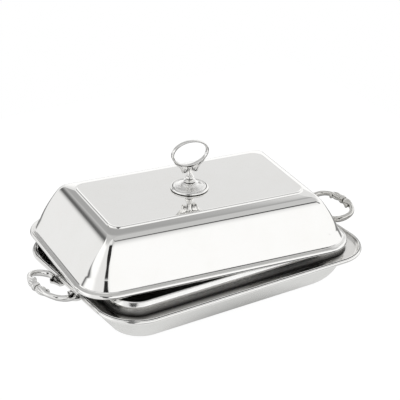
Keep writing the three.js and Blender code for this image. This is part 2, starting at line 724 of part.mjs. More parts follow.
// The cover with its finial, turned, shifted and dipping on the lip
const cover = new THREE.Group();
cover.add(piece("cover_shell", coverShell(), SILVER));
cover.add(piece("cover_border", coverBorder(), SILVER));
cover.add(piece("cover_lock_plate", lockPlate(), SATIN));
cover.add(piece("finial_foot_bead", finialFootBead(), SILVER));
cover.add(piece("finial_dome", finialDome(), CAST));
cover.add(piece("finial_knop", finialKnop(), SILVER));
cover.add(piece("finial_stem", finialStem(), CAST));
cover.add(piece("finial_volute_right", finialVolute(1), CAST));
cover.add(piece("finial_volute_left", finialVolute(-1), CAST));
cover.add(piece("finial_ring", finialRing(), SILVER));
cover.add(piece("finial_stud", finialStud(), SATIN));
cover.add(piece("finial_lug_bar", crossBar(LUG_RADIUS, LUG_LENGTH), SATIN));
cover.position.set(COVER_SHIFT_X, COVER_SHIFT_Y, coverSeatZ);
cover.rotation.set(COVER_TILT_X, COVER_TILT_Y, COVER_TURN, "ZYX");
group.add(cover);

export default group;
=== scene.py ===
"""Covered vegetable dish of silver plate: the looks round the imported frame, in metres."""
import math

import bmesh
import bpy
from mathutils import Matrix, Vector


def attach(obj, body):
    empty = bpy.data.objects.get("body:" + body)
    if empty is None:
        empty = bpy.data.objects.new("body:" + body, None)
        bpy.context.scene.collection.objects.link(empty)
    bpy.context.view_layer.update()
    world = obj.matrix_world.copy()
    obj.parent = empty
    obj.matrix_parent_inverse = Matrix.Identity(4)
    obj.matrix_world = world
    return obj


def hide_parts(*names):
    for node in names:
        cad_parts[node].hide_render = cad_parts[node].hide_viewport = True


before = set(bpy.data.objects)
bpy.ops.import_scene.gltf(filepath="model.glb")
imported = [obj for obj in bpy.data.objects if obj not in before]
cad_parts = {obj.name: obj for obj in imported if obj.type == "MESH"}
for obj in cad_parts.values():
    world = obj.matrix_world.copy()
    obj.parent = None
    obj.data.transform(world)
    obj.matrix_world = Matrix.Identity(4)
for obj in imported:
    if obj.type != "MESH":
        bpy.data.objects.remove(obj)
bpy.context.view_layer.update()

MM = 0.001
CORNER_STEPS = 22
SHARP_ANGLE = 50  # degrees between two faces from which the edge between them stays sharp

# Sizes of the CAD solids in millimetres, which the visible skins follow. An inset is measured
# inwards from the dish's edge.
DISH_HALF_X, DISH_HALF_Y, DISH_CORNER = 150.0, 97.0, 41.5
DISH_SHEET, PAN_SHEET, COVER_SHEET, PART_GAP = 1.4, 1.2, 1.2, 0.3
SEAT_Z, LEDGE_Z, LIP_SEAT_Z = 40.2, 37.0, 44.9
NECK_INSET, LIP_INSET, LIP_WIDTH, LIP_HEIGHT = 20.2, 17.2, 4.4, 4.6
BEAD_WIDTH, BEAD_HEIGHT = 3.2, 3.2
# Half length, half width and corner radius of the cover's outlines, and the height of some
FOOT = (135.6, 82.6, 27.1)
CROWN = (110.3, 63.8, 5.0, 48.3)
STEP = (103.0, 51.7, 12.7, 50.3)
PANEL = (99.8, 48.5, 9.5, 51.5)
STUD_HOLE = (8.3, 8.3, 7.9)
BORDER_HEIGHT, WALL_FLARE, FLARE_RISE, WALL_BULGE = 8.0, 1.8, 3.0, 2.0
DISH_PLACE = Matrix.Identity(4)
COVER_PLACE = (
    Matrix.Translation((-8.2 * MM, 7.1 * MM, 50.892 * MM))
    @ Matrix.Rotation(math.radians(-8.27), 4, "Z")
    @ Matrix.Rotation(math.radians(-0.68), 4, "Y")
    @ Matrix.Rotation(math.radians(-1.29), 4, "X")
)


# ---------------------------------------------------------------- mesh helpers
def outline(level):
    """Points of a rounded rectangle (half x, half y, corner, z) in millimetres."""
    half_x, half_y, corner, z = level
    points = []
    for quarter, (sx, sy) in enumerate(((1, 1), (-1, 1), (-1, -1), (1, -1))):
        for i in range(CORNER_STEPS + 1):
            angle = (quarter + i / CORNER_STEPS) * math.pi / 2
            points.append((
                sx * (half_x - corner) + corner * math.cos(angle),
                sy * (half_y - corner) + corner * math.sin(angle),
                z,
            ))
    return points


def circle(sides):
    """Cosine and sine of evenly spaced angles round a full turn."""
    angles = [k / sides * math.tau for k in range(sides)]
    return [(math.cos(angle), math.sin(angle)) for angle in angles]


def skin(rings, loop):
    """Vertices and faces over rings of points, joined into a loop or capped."""
    count = len(rings[0])
    faces = []
    for k in range(len(rings) if loop else len(rings) - 1):
        low, high = k * count, (k + 1) % len(rings) * count
        for i in range(count):
            j = (i + 1) % count
            faces.append((low + i, low + j, high + j, high + i))
    if not loop:
        faces.append(tuple(reversed(range(count))))
        faces.append(tuple(range((len(rings) - 1) * count, len(rings) * count)))
    return [p for r in rings for p in r], faces


def toward(level, other, distance):
    """The level a distance on towards another, halfway at most."""
    span = math.hypot(other[1] - level[1], other[3] - level[3]) or 1
    share = min(distance / span, 0.5)
    return tuple(a + (b - a) * share for a, b in zip(level, other))


def soften(levels, steps):
    """Levels with a fifth number, the rounding there, become a list of plain levels."""
    out = []
    count = len(levels)
    for i, entry in enumerate(levels):
        level, rounding = entry[:4], entry[4] if len(entry) > 4 else 0
        if not rounding:
            out.append(level)
            continue
        start = toward(level, levels[i - 1][:4], rounding)
        end = toward(level, levels[(i + 1) % count][:4], rounding)
        for k in range(steps + 1):
            t = k / steps
            out.append(tuple(
                (1 - t) ** 2 * a + 2 * t * (1 - t) * b + t * t * c
                for a, b, c in zip(start, level, end)
            ))
    return out


def make_piece(name, shape, place, body, material, node, sharp=SHARP_ANGLE):
    """A mesh piece from points in millimetres and faces, which stands for a CAD node."""
    points, faces = shape
    mesh = bpy.data.meshes.new(name)
    mesh.from_pydata([place @ (Vector(p) * MM) for p in points], [], faces)
    bm = bmesh.new()
    bm.from_mesh(mesh)
    bmesh.ops.remove_doubles(bm, verts=bm.verts, dist=1e-7)
    bmesh.ops.recalc_face_normals(bm, faces=bm.faces)
    bm.to_mesh(mesh)
    bm.free()
    obj = bpy.data.objects.new(name, mesh)
    bpy.context.scene.collection.objects.link(obj)
    for polygon in mesh.polygons:
        polygon.use_smooth = True
    if sharp:
        mesh.set_sharp_from_angle(angle=math.radians(sharp))
        normals = obj.modifiers.new("face_weight", "WEIGHTED_NORMAL")
        normals.keep_sharp = True
        normals.weight = 100
    mesh.materials.append(material)
    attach(obj, body)
    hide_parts(node)
    return obj


def second_material(obj, material, wanted):
    """A further material on the faces whose centre and normal (in metres) the test picks."""
    obj.data.materials.append(material)
    last = len(obj.data.materials) - 1
    for polygon in obj.data.polygons:
        if wanted(polygon.center, polygon.normal):
            polygon.material_index = last


def level_shape(levels, loop):
    return skin([outline(level) for level in levels], loop)


# ---------------------------------------------------------------- shader helpers
def feed(tree, socket, value):
    """Link an output to a socket, or set the socket's own number, vector or colour."""
    if isinstance(value, bpy.types.NodeSocket):
        tree.links.new(value, socket)
    elif socket.type == "RGBA":
        socket.default_value = (*value, 1)
    else:
        socket.default_value = value


def add(tree, kind, inputs=None, **settings):
    """A new node with its settings, and its inputs by name or number."""
    node = tree.nodes.new(kind)
    for key, value in settings.items():
        setattr(node, key, value)
    for key, value in (inputs or {}).items():
        feed(tree, node.inputs[key], value)
    return node


def node_tree(owner):
    """The emptied node tree of a material or world."""
    owner.use_nodes = True
    owner.node_tree.nodes.clear()
    return owner.node_tree


def noise(tree, where, scale, detail, roughness):
    node = add(tree, "ShaderNodeTexNoise", {
        "Vector": where, "Scale": scale, "Detail": detail, "Roughness": roughness,
    })
    return node.outputs["Fac"]


def stretched(tree, where, scale, turn):
    node = add(tree, "ShaderNodeMapping", {
        "Vector": where, "Scale": scale, "Rotation": (0, 0, turn),
    })
    return node.outputs["Vector"]


def split_axes(tree, vector):
    """The vector's x, y and z."""
    return add(tree, "ShaderNodeSeparateXYZ", {0: vector}).outputs


def grey_ramp(tree, value, stops):
    """Grey levels between stops of position and level."""
    node = add(tree, "ShaderNodeValToRGB", {"Fac": value})
    elements = node.color_ramp.elements
    while len(elements) < len(stops):
        elements.new(0.5)
    for element, (position, level) in zip(elements, stops):
        element.position = position
        element.color = (level, level, level, 1)
    return node.outputs["Color"]


def smooth_range(tree, value, low, high):
    """0 up to low, 1 from high on, smooth between. Falls instead where low is the higher one."""
    node = add(
        tree, "ShaderNodeMapRange", {"Value": value, "From Min": low, "From Max": high},
        interpolation_type="SMOOTHSTEP",
    )
    return node.outputs["Result"]


def mix_colour(tree, factor, a, b):
    """Colour a where the factor is 0 and b where it is 1."""
    return add(tree, "ShaderNodeMix", {0: factor, 6: a, 7: b}, data_type="RGBA").outputs[2]


def mix_number(tree, factor, a, b):
    """Number a where the factor is 0 and b where it is 1."""
    return add(tree, "ShaderNodeMix", {0: factor, 2: a, 3: b}, data_type="FLOAT").outputs[0]


def math_node(tree, operation, *values, clamp=False):
    node = add(
        tree, "ShaderNodeMath", dict(enumerate(values)), operation=operation, use_clamp=clamp,
    )
    return node.outputs[0]


def minus(tree, a, b):
    return math_node(tree, "SUBTRACT", a, b)


def times(tree, *values):
    product = values[0]
    for value in values[1:]:
        product = math_node(tree, "MULTIPLY", product, value)
    return product


def larger(tree, a, b):
    return math_node(tree, "MAXIMUM", a, b)


def scaled(tree, value, factor, offset):
    """value * factor + offset"""
    return math_node(tree, "MULTIPLY_ADD", value, factor, offset)


# ---------------------------------------------------------------- silver
# Noise scales per metre. The scratches are stretched noise, in two directions that cross.
CLOUD_SCALE, GRAIN_SCALE, WAVE_SCALE = 34, 420, 26
SCRATCHES = (((3000, 160, 500), 0.5), ((150, 2600, 420), -0.3))
# Millimetres below the foot band over which its painted shade fades out again.
SCRATCH_DEPTH, FOOT_SHADE_FADE = 0.04 * MM, 8
CLOUD_SHARE, SHADE_ROUGHNESS = 0.35, 0.25


def silver(
    name, colour, tarnish, recess, darken, rough, scratch, wave, reach, foot=None, under=0,
):
    """Silver plate: tarnish clouds, dark recesses, wiping scratches and a faint planished wave.

    recess is the colour of painted shade in hollows narrower than reach, and darken its share
    there. foot is a band of heights with painted shade that darkens downwards like a hollow, and
    under the share of painted shade on faces that look down. rough is the lowest and highest
    roughness. Lengths are in millimetres.
    """
    material = bpy.data.materials.new(name)
    tree = node_tree(material)
    where = add(tree, "ShaderNodeTexCoord").outputs["Object"]
    clouds = noise(tree, where, CLOUD_SCALE, detail=5, roughness=0.6)
    grain = noise(tree, where, GRAIN_SCALE, detail=4, roughness=0.65)
    scratches = [
        noise(tree, stretched(tree, where, scale, turn), 1, detail=3, roughness=0.7)
        for scale, turn in SCRATCHES
    ]
    veil = grey_ramp(tree, clouds, ((0.42, 0.0), (0.78, 1.0)))
    base = mix_colour(tree, times(tree, veil, CLOUD_SHARE), colour, tarnish)
    # Painted shade: ambient occlusion gives hollows narrower than reach the recess colour.
    hollow = add(tree, "ShaderNodeAmbientOcclusion", {"Distance": reach * MM}, samples=8)
    shade = grey_ramp(tree, hollow.outputs["AO"], ((0.25, 1.0), (0.8, 0.0)))
    # Painted shade: darker downwards through the foot band, fading out again below it.
    if foot:
        height = split_axes(tree, where)[2]
        low, high = foot
        band = times(
            tree, smooth_range(tree, height, high * MM, low * MM),
            smooth_range(tree, height, (low - FOOT_SHADE_FADE) * MM, low * MM),
        )
        shade = larger(tree, shade, band)
    # Painted shade on faces that look down, by the under share.
    if under:
        facing = split_axes(tree, add(tree, "ShaderNodeNewGeometry").outputs["Normal"])[2]
        underside_shade = times(tree, smooth_range(tree, facing, 0.35, -0.6), under)
        shade = larger(tree, shade, underside_shade)
    base = mix_colour(tree, times(tree, shade, darken), base, recess)
    spread = rough[1] - rough[0]
    roughness = scaled(tree, grain, spread, rough[0])
    roughness = scaled(tree, veil, spread * 0.5, roughness)
    roughness = math_node(tree, "MULTIPLY_ADD", shade, SHADE_ROUGHNESS, roughness, clamp=True)
    scratched = add(tree, "ShaderNodeBump", {
        "Strength": scratch, "Distance": SCRATCH_DEPTH, "Height": times(tree, *scratches),
    })
    planished = add(tree, "ShaderNodeBump", {
        "Strength": 1.0, "Distance": wave * MM, "Normal": scratched.outputs["Normal"],
        "Height": noise(tree, where, WAVE_SCALE, detail=2, roughness=0.4),
    })
    shader = add(tree, "ShaderNodeBsdfPrincipled", {
        "Metallic": 1.0, "Base Color": base, "Roughness": roughness,
        "Normal": planished.outputs["Normal"],
    })
    add(tree, "ShaderNodeOutputMaterial", {"Surface": shader.outputs["BSDF"]})
    return material


polished = silver(
    "polished_silver", (0.95, 0.945, 0.93), tarnish=(0.9, 0.885, 0.85),
    recess=(0.3, 0.29, 0.27), darken=0.15, rough=(0.03, 0.07), scratch=0.08, wave=0.01, reach=4,
)
satin = silver(
    "satin_silver", (0.92, 0.92, 0.9), tarnish=(0.82, 0.815, 0.79),
    recess=(0.2, 0.19, 0.175), darken=0.6, rough=(0.16, 0.3), scratch=0.4, wave=0.06, reach=6,
)
# Cast metal of the right handle; the left handle takes a lighter copy of it, painted light.
cast = silver(
    "cast_silver", (0.8, 0.79, 0.76), tarnish=(0.52, 0.51, 0.47),
    recess=(0.03, 0.028, 0.025), darken=0.97, rough=(0.09, 0.2), scratch=0.3, wave=0.03, reach=3,
    under=0.75,
)
# Painted light: a lighter copy of the cast metal for the left handle, the same casting as the
# right.
lit_cast = silver(
    "cast_silver_painted_lit", (0.95, 0.945, 0.93), tarnish=(0.72, 0.71, 0.68),
    recess=(0.02, 0.019, 0.018), darken=1.0, rough=(0.05, 0.12), scratch=0.25, wave=0.03,
    reach=3.4, under=0.5,
)
# Painted shade: the insides of the pan and the cover go near black by ambient occlusion over 90 mm.
shaded_inside = silver(
    "inside_silver_painted_shade", (0.72, 0.71, 0.69), tarnish=(0.45, 0.44, 0.42),
    recess=(0.006, 0.006, 0.005), darken=1.0, rough=(0.08, 0.2), scratch=0.15, wave=0.02,
    reach=90,
)
# Painted shade on the collar: near-black hollows, and its foot band darkening down to the ledge.
pan_wall = silver(
    "collar_silver", (0.9, 0.895, 0.88), tarnish=(0.75, 0.74, 0.71),
    recess=(0.015, 0.014, 0.013), darken=0.96, rough=(0.04, 0.09), scratch=0.1, wave=0.01,
    reach=9, foot=(37.5, 46.2),
)
# Painted shade: a darker metal with dark hollows for the flange's top and inner slope.
ledge = silver(
    "ledge_silver", (0.84, 0.83, 0.81), tarnish=(0.62, 0.61, 0.57),
    recess=(0.02, 0.019, 0.018), darken=0.8, rough=(0.08, 0.2), scratch=0.3, wave=0.02, reach=6,
)
# Its near-black recess colour paints the shade in the rim bead's groove and the finial's hollows.
jewel = silver(
    "chased_silver", (0.95, 0.945, 0.93), tarnish=(0.85, 0.84, 0.81),
    recess=(0.03, 0.028, 0.025), darken=0.98, rough=(0.03, 0.08), scratch=0.12, wave=0.01,
    reach=1.8,
)
mellow = silver(
    "mellow_silver", (0.97, 0.965, 0.95), tarnish=(0.9, 0.89, 0.87),
    recess=(0.015, 0.014, 0.013), darken=1.0, rough=(0.14, 0.24), scratch=0.12, wave=0.01,
    reach=2.4,
)


# ---------------------------------------------------------------- outer dish
FLANGE_FROM, EDGE_WIDTH = 36.5 * MM, 1.6 * MM
# Inset, height and, where it isn't 0.2, the rounding of the flange's section, from below the
# edge over the seat of the bead to the ledge and the top of the well
FLANGE = (
    (8.0, LEDGE_Z - DISH_SHEET, 0.3), (6.1, 35.8, 0.3), (4.1, 36.9), (2.9, 36.45), (1.7, 36.4),
    (1.0, 36.65), (0.3, 37.3), (0.05, 38.2), (0.05, 38.95), (0.4, 39.6), (0.78, SEAT_Z, 0.3),
    (3.2, SEAT_Z), (3.7, 39.0), (4.7, 37.9), (6.2, 37.2), (8.0, LEDGE_Z, 0.6),
    (17.6, LEDGE_Z, 0.3), (18.4, 36.8),
)
# Share of the bead's width and height: a leaning bead, a groove, and a lower roll behind it
BEAD = (
    (0.25, 0), (0.28, 0.06), (0.33, 0.16), (0.38, 0.2), (0.42, 0.14), (0.43, 0.01), (0.63, 0.01),
    (0.64, 0.26), (0.69, 0.38), (0.8, 0.38), (0.92, 0.25), (1, 0.1), (0.97, 0),
)


def dish_level(inset, z, corner=None):
    corner = DISH_CORNER - inset if corner is None else corner
    return (DISH_HALF_X - inset, DISH_HALF_Y - inset, corner, z)


def belly(top, floor, corners, thickness, steps=26):
    """Levels from the top edge of a belly in and down to its floor, moved inwards.

    top and floor are an inset and a height each, and corners their corner radii.
    """
    run, drop = floor[0] - top[0], top[1] - floor[1]
    pull = ((0, 1), (0.06, 0.56), (0.3, 0), (1, 0))
    p = [(top[0] + run * a, floor[1] + drop * b) for a, b in pull]
    levels = []
    for i in range(steps + 1):
        t = i / steps
        b = ((1 - t) ** 3, 3 * t * (1 - t) ** 2, 3 * t * t * (1 - t), t ** 3)
        x, z = (sum(w * q[k] for w, q in zip(b, p)) for k in (0, 1))
        d = (3 * (1 - t) ** 2, 6 * t * (1 - t), 3 * t * t)
        dx, dz = (sum(w * (p[n + 1][k] - p[n][k]) for n, w in enumerate(d)) for k in (0, 1))
        size = math.hypot(dx, dz)
        corner = corners[0] + (corners[1] - corners[0]) * t - thickness
        levels.append(dish_level(x - dz / size * thickness, z + dx / size * thickness, corner))
    return levels


def on_flange(centre, normal):
    """True on the flange's upper side and on its inward faces."""
    return centre.z > FLANGE_FROM and (normal.z > 0.5 or normal.xy.dot(centre.xy) < 0)


def on_edge(centre, normal):
    """True on the rolled edge of the flange, under the bead."""
    past_x = abs(centre.x) - DISH_HALF_X * MM
    past_y = abs(centre.y) - DISH_HALF_Y * MM
    out = max(past_x, past_y) > -EDGE_WIDTH or in_corner(centre)
    return centre.z > FLANGE_FROM and normal.xy.dot(centre.xy) > 0 and out


def in_corner(centre):
    """True at the flange's edge within the rounded corners."""
    aside = abs(centre.x) - (DISH_HALF_X - DISH_CORNER) * MM
    ahead = abs(centre.y) - (DISH_HALF_Y - DISH_CORNER) * MM
    return aside > 0 and ahead > 0 and math.hypot(aside, ahead) > DISH_CORNER * MM - EDGE_WIDTH


def build_outer_dish():
    top, floor, corners = (17.2, LEDGE_Z - DISH_SHEET), (40, 0), (24.3, 28)
    outside = belly(top, floor, corners, 0)
    inside = belly(top, floor, corners, DISH_SHEET)
    flange = [(*dish_level(x, z), *(rounding or (0.2,))) for x, z, *rounding in FLANGE]
    levels = soften([*reversed(outside), *flange, *inside[1:]], steps=3)
    dish = make_piece(
        "outer_dish_skin", level_shape(levels, False), DISH_PLACE, "base",
        satin, "outer_dish",
    )
    # The flange's upper side and inward faces take the ledge metal, darkened as painted shade.
    second_material(dish, ledge, on_flange)
    second_material(dish, polished, on_edge)


def build_rim_bead():
    levels = [(*dish_level(BEAD_WIDTH * x, SEAT_Z + BEAD_HEIGHT * z), 0.1) for x, z in BEAD]
    make_piece(
        "rim_bead_skin", level_shape(soften(levels, steps=2), True), DISH_PLACE, "base",
        jewel, "rim_bead",
    )


# ---------------------------------------------------------------- inner dish
FLOOR_BELOW, WALL_BELOW = 36 * MM, 48 * MM
# Inset, height and rounding of the collar's section, from its foot up, under the lip and back
COLLAR = (
    (15.9, 37.32, 0.2), (15.95, 37.9, 0.3), (16.5, 39.2, 0.8), (17.1, 41.3, 0.8),
    (17.6, 43.4, 0.6), (17.7, LIP_SEAT_Z, 0), (21.1, LIP_SEAT_Z, 0.2), (21.1, 43.7, 0.2),
    (18.9, 43.7, 0.4), (18.0, 39.7, 0.6), (18.6, 38.5, 0.5), (21.4, 38.5, 0.4),
)
# Share of the lip's width and height: a leaning outer face and a rounded top
LIP = (
    (0.1, 0), (0.02, 0.03), (0, 0.1), (0.04, 0.22), (0.18, 0.42), (0.32, 0.62), (0.46, 0.82),
    (0.56, 0.94), (0.66, 1), (0.78, 0.97), (0.89, 0.87), (0.96, 0.7), (1, 0.45), (0.98, 0.15),
    (0.92, 0),
)


def faces_middle(centre, normal):
    """True on the inner side of the pan: its floor's top and its walls as seen from within."""
    on_floor = normal.z > 0.35 and centre.z < FLOOR_BELOW
    return on_floor or normal.xy.dot(centre.xy) < 0 and centre.z < WALL_BELOW


def build_inner_dish():
    top, floor, corners = (NECK_INSET, LEDGE_Z + PART_GAP), (46.2, 10.0), (21.3, 24)
    outside = belly(top, floor, corners, 0)
    inside = belly(top, floor, corners, PAN_SHEET)
    collar = [(*dish_level(x, z), rounding) for x, z, rounding in COLLAR]
    levels = soften([*reversed(outside), *collar, *inside], steps=3)
    pan = make_piece(
        "inner_dish_skin", level_shape(levels, False), DISH_PLACE, "liner",
        pan_wall, "inner_dish",
    )
    # Painted shade: the pan's inside takes the near-black inside metal.
    second_material(pan, shaded_inside, faces_middle)


def build_inner_lip():
    levels = [dish_level(LIP_INSET + LIP_WIDTH * x, LIP_SEAT_Z + LIP_HEIGHT * z) for x, z in LIP]
    make_piece(
        "inner_lip_skin", level_shape(levels, True), DISH_PLACE, "liner",
        mellow, "inner_dish_lip",
    )


# ---------------------------------------------------------------- cover
RIDGE_STEPS, RIDGE_WIDTH, RIDGE_HEIGHT, RIDGE_TOP, RIDGE_BACK = 14, 3.2, 1.75, 0.42, 0.55
WEAR_FROM, WEAR_SPAN, LEAST_RIDGE = 14, 12, 0.08
SHOULDER_DOMING, BORDER_LEVELS = 0.08, 5  # the wall's first levels lie behind the border
# Distance out from the shell, and height: leaning bead, groove and a small cove under the wall
BORDER = (
    (5.9, 0), (6.45, 0.15), (6.76, 0.6), (6.81, 1.1), (6.65, 1.8), (6.4, 2.5), (6.05, 3.15),
    (5.7, 3.6), (5.3, 3.88), (4.8, 3.95), (4.4, 3.8), (4.1, 3.5), (3.75, 3.6), (3.2, 3.75),
    (2.5, 3.85), (1.9, 4.1), (1.5, 4.55), (1.2, 4.9), (0.0, 4.9), (0.0, 0.0),
)


def cover_level(size, grow, z):
    return (size[0] + grow, size[1] + grow, size[2] + grow, z)


def blend(a, b, share):
    return tuple(x + (y - x) * share for x, y in zip(a, b))


def bend(start, corner, end, steps, last=False):
    """Levels along a bend that leaves and meets its two straight stretches smoothly."""
    return [
        blend(blend(start, corner, k / steps), blend(corner, end, k / steps), k / steps)
        for k in range(steps + last)
    ]


def wall_levels(inwards):
    """Wall of the cover from its border up over the rounded crown and the shoulder to the step."""
    foot = cover_level(FOOT, -inwards, BORDER_HEIGHT - inwards / 2)
    low = cover_level(FOOT, -inwards - WALL_FLARE, BORDER_HEIGHT + FLARE_RISE)
    crown = cover_level(CROWN, -inwards, CROWN[3] - inwards)
    step = cover_level(STEP, -inwards, STEP[3] - inwards)
    middle = blend(low, crown, 0.37)
    middle = (middle[0] + WALL_BULGE, middle[1] + WALL_BULGE, middle[2], middle[3])
    shoulder = blend(crown, step, 0.6)
    shoulder = (*shoulder[:3], shoulder[3] + SHOULDER_DOMING)
    flare = blend(low, middle, 0.12)
    below, beyond = blend(crown, middle, 0.3), blend(crown, shoulder, 0.62)
    return [
        *bend(foot, low, flare, steps=BORDER_LEVELS),
        *bend(flare, middle, below, steps=12),
        *bend(below, crown, beyond, steps=14),
        *bend(beyond, shoulder, step, steps=6, last=True),
    ]


def ridge_levels():
    """The bead along the step, steep outside and sloping down to the panel inside."""
    levels = []
    for i in range(1, RIDGE_STEPS + 1):
        s = i / RIDGE_STEPS
        if s < RIDGE_TOP:
            z = STEP[3] + RIDGE_HEIGHT * math.sin(math.pi / 2 * s / RIDGE_TOP) ** 0.9
        else:
            fall = (s - RIDGE_TOP) / (1 - RIDGE_TOP)
            z = PANEL[3] + RIDGE_BACK * math.cos(math.pi / 2 * fall)
        levels.append(cover_level(STEP, -RIDGE_WIDTH * s, z))
    return levels


def worn_ridge(x, y, z):
    """Height of a point on the shell once its ridge is rubbed nearly flat at the back and right."""
    if z <= PANEL[3]:
        return z
    front = min(max((-y - STEP[1] + WEAR_FROM) / WEAR_SPAN, 0), 1)
    left = min(max((-x - STEP[0] + WEAR_FROM) / WEAR_SPAN, 0), 1)
    return PANEL[3] + (z - PANEL[3]) * max(LEAST_RIDGE, front, left)


def build_cover_shell():
    panel_under = PANEL[3] - COVER_SHEET
    levels = [
        (*cover_level(FOOT, 0, 0.0), 0.2),
        cover_level(FOOT, 0, 4.4),
        (*cover_level(FOOT, 1.75, 4.95), 0.15),
        *wall_levels(0)[BORDER_LEVELS:],
        *ridge_levels(),
        cover_level(STUD_HOLE, 0, PANEL[3]),
        cover_level(STUD_HOLE, 0, panel_under),
        (*cover_level(PANEL, -COVER_SHEET / 2, panel_under), 0.8),
        *reversed(wall_levels(COVER_SHEET)),
        (*cover_level(FOOT, -COVER_SHEET, 0.0), 0.2),
    ]
    points, faces = level_shape(soften(levels, steps=5), True)
    points = [(x, y, worn_ridge(x, y, z)) for x, y, z in points]
    shell = make_piece(
        "cover_shell_skin", (points, faces), COVER_PLACE, "cover", polished,
        "cover_shell",
    )
    up = COVER_PLACE.to_3x3() @ Vector((0, 0, 1))
    # Painted shade: the cover's underside takes the near-black inside metal.
    second_material(shell, shaded_inside, lambda centre, normal: normal.dot(up) < -0.2)


def build_cover_border():
    levels = [(*cover_level(FOOT, PART_GAP + out, z), 0.12) for out, z in BORDER]
    make_piece(
        "cover_border_skin", level_shape(soften(levels, steps=2), True), COVER_PLACE, "cover",
        polished, "cover_border",
    )


# ---------------------------------------------------------------- swept, turned and ball shapes
SPLINE_STEPS, AXIS_GAP = 24, 0.02


def spline(points, count):
    """Evenly spaced points along a smooth curve through the given ones, and its length."""
    points = [Vector(p) for p in points]
    padded = [points[0] * 2 - points[1], *points, points[-1] * 2 - points[-2]]
    dense = []
    for p, q, r, s in zip(padded, padded[1:], padded[2:], padded[3:]):
        for k in range(SPLINE_STEPS):
            t = k / SPLINE_STEPS
            square, cube = 2 * p - 5 * q + 4 * r - s, 3 * q - p - 3 * r + s
            dense.append(0.5 * (2 * q + (r - p) * t + square * t ** 2 + cube * t ** 3))
    dense.append(points[-1])
    reach = [0.0]
    for p, q in zip(dense, dense[1:]):
        reach.append(reach[-1] + (q - p).length)
    even, k = [], 0
    for i in range(count):
        goal = reach[-1] * i / (count - 1)
        while k < len(reach) - 2 and reach[k + 1] < goal:
            k += 1
        share = (goal - reach[k]) / (reach[k + 1] - reach[k])
        even.append(dense[k].lerp(dense[k + 1], min(share, 1)))
    return even, reach[-1]


def table(rows, at):
    """Row of numbers between the rows of a table, found by its first column."""
    for low, high in zip(rows, rows[1:]):
        if at <= high[0]:
            share = max((at - low[0]) / (high[0] - low[0]), 0)
            share = share * share * (3 - 2 * share)
            return [x + (y - x) * share for x, y in zip(low[1:], high[1:])]
    return list(rows[-1][1:])


def sweep(path, section, up, sides):
    """Closed tube round a path: section(share, angle) says how far a point lies aside and up."""
    rings = []
    for i, here in enumerate(path):
        ahead = (path[min(i + 1, len(path) - 1)] - path[max(i - 1, 0)]).normalized()
        side = up.cross(ahead).normalized()
        top = ahead.cross(side)
        ring = []
        for k in range(sides):
            aside, rise = section(i / (len(path) - 1), k / sides * math.tau)
            ring.append(tuple(here + side * aside + top * rise))
        rings.append(ring)
    return skin(rings, False)


def ball(centre, sizes, steps=14, sides=24):
    """Closed ellipsoid as rings along Z, with a small flat at each pole."""
    rings = []
    for i in range(steps + 1):
        polar = math.pi * (0.02 + 0.96 * i / steps)
        rings.append([(
            centre[0] + sizes[0] * math.sin(polar) * c,
            centre[1] + sizes[1] * math.sin(polar) * s,
            centre[2] - sizes[2] * math.cos(polar),
        ) for c, s in circle(sides)])
    return skin(rings, False)


def joined(*shapes):
    """Several closed shapes as one list of points and faces."""
    points, faces = [], []
    for shape_points, shape_faces in shapes:
        faces += [tuple(i + len(points) for i in face) for face in shape_faces]
        points += shape_points
    return points, faces


def turned(profile, steps=120, sides=64):
    """Closed solid turned about Z from a smooth profile of radius and height."""
    even, _ = spline([(r, 0, z) for r, z in profile], steps)
    reaches = [(max(p.x, AXIS_GAP), p.z) for p in even]
    rings = [[(reach * c, reach * s, z) for c, s in circle(sides)] for reach, z in reaches]
    return skin(rings, False)


# ---------------------------------------------------------------- handles
HANDLE_REACH, HANDLE_SPREAD, HANDLE_LOW, HANDLE_LIFT = 31.6, 27.5, -1.8, 5.5
HANDLE_Z = 41
RIDGES, RIDGE_TWIST, RIDGE_DEPTH = 6, 0.42, 2.2
# Shares of the reach, the spread and the rise along one half of the bow
BOW_SHARES = (
    (0.1, 0.68, 0.04), (0.17, 0.85, 0.16), (0.34, 0.965, 0.34), (0.54, 0.985, 0.56),
    (0.73, 0.91, 0.76), (0.88, 0.71, 0.92), (0.98, 0.42, 1),
)
# Distance from the bow's middle, then the section's reach outwards, inwards and up, and its ridges
BOW_SECTION = (
    (0, 2.4, 2.4, 2.4, 0), (2.7, 2.6, 2.6, 2.6, 0.02), (4, 3.2, 3.3, 3.3, 0.07),
    (6.2, 3.7, 4.5, 3.9, 0.1), (8.6, 3.6, 5.3, 4.1, 0.11), (11, 3.2, 5.3, 3.8, 0.1),
    (13, 2.8, 4.5, 3.3, 0.08), (14.6, 2.5, 2.8, 2.8, 0.05), (16, 2.4, 2.2, 2.6, 0.02),
    (22, 2.5, 2.3, 2.6, 0), (30, 2.6, 2.4, 2.9, 0), (38, 2.7, 2.6, 3.2, 0.01),
    (46, 2.8, 2.8, 3.3, 0.02), (52, 2.7, 3.0, 2.8, 0.02),
)
# Place along the bow and radius
COLLAR_PROFILE = (
    (-2.6, 2.7), (-2.55, 3.5), (-2.1, 4.0), (-1.62, 3.5), (-1.4, 3.55), (-0.9, 4.2), (0, 4.46),
    (0.9, 4.2), (1.4, 3.55), (1.62, 3.5), (2.1, 4.0), (2.55, 3.5), (2.6, 2.7),
)


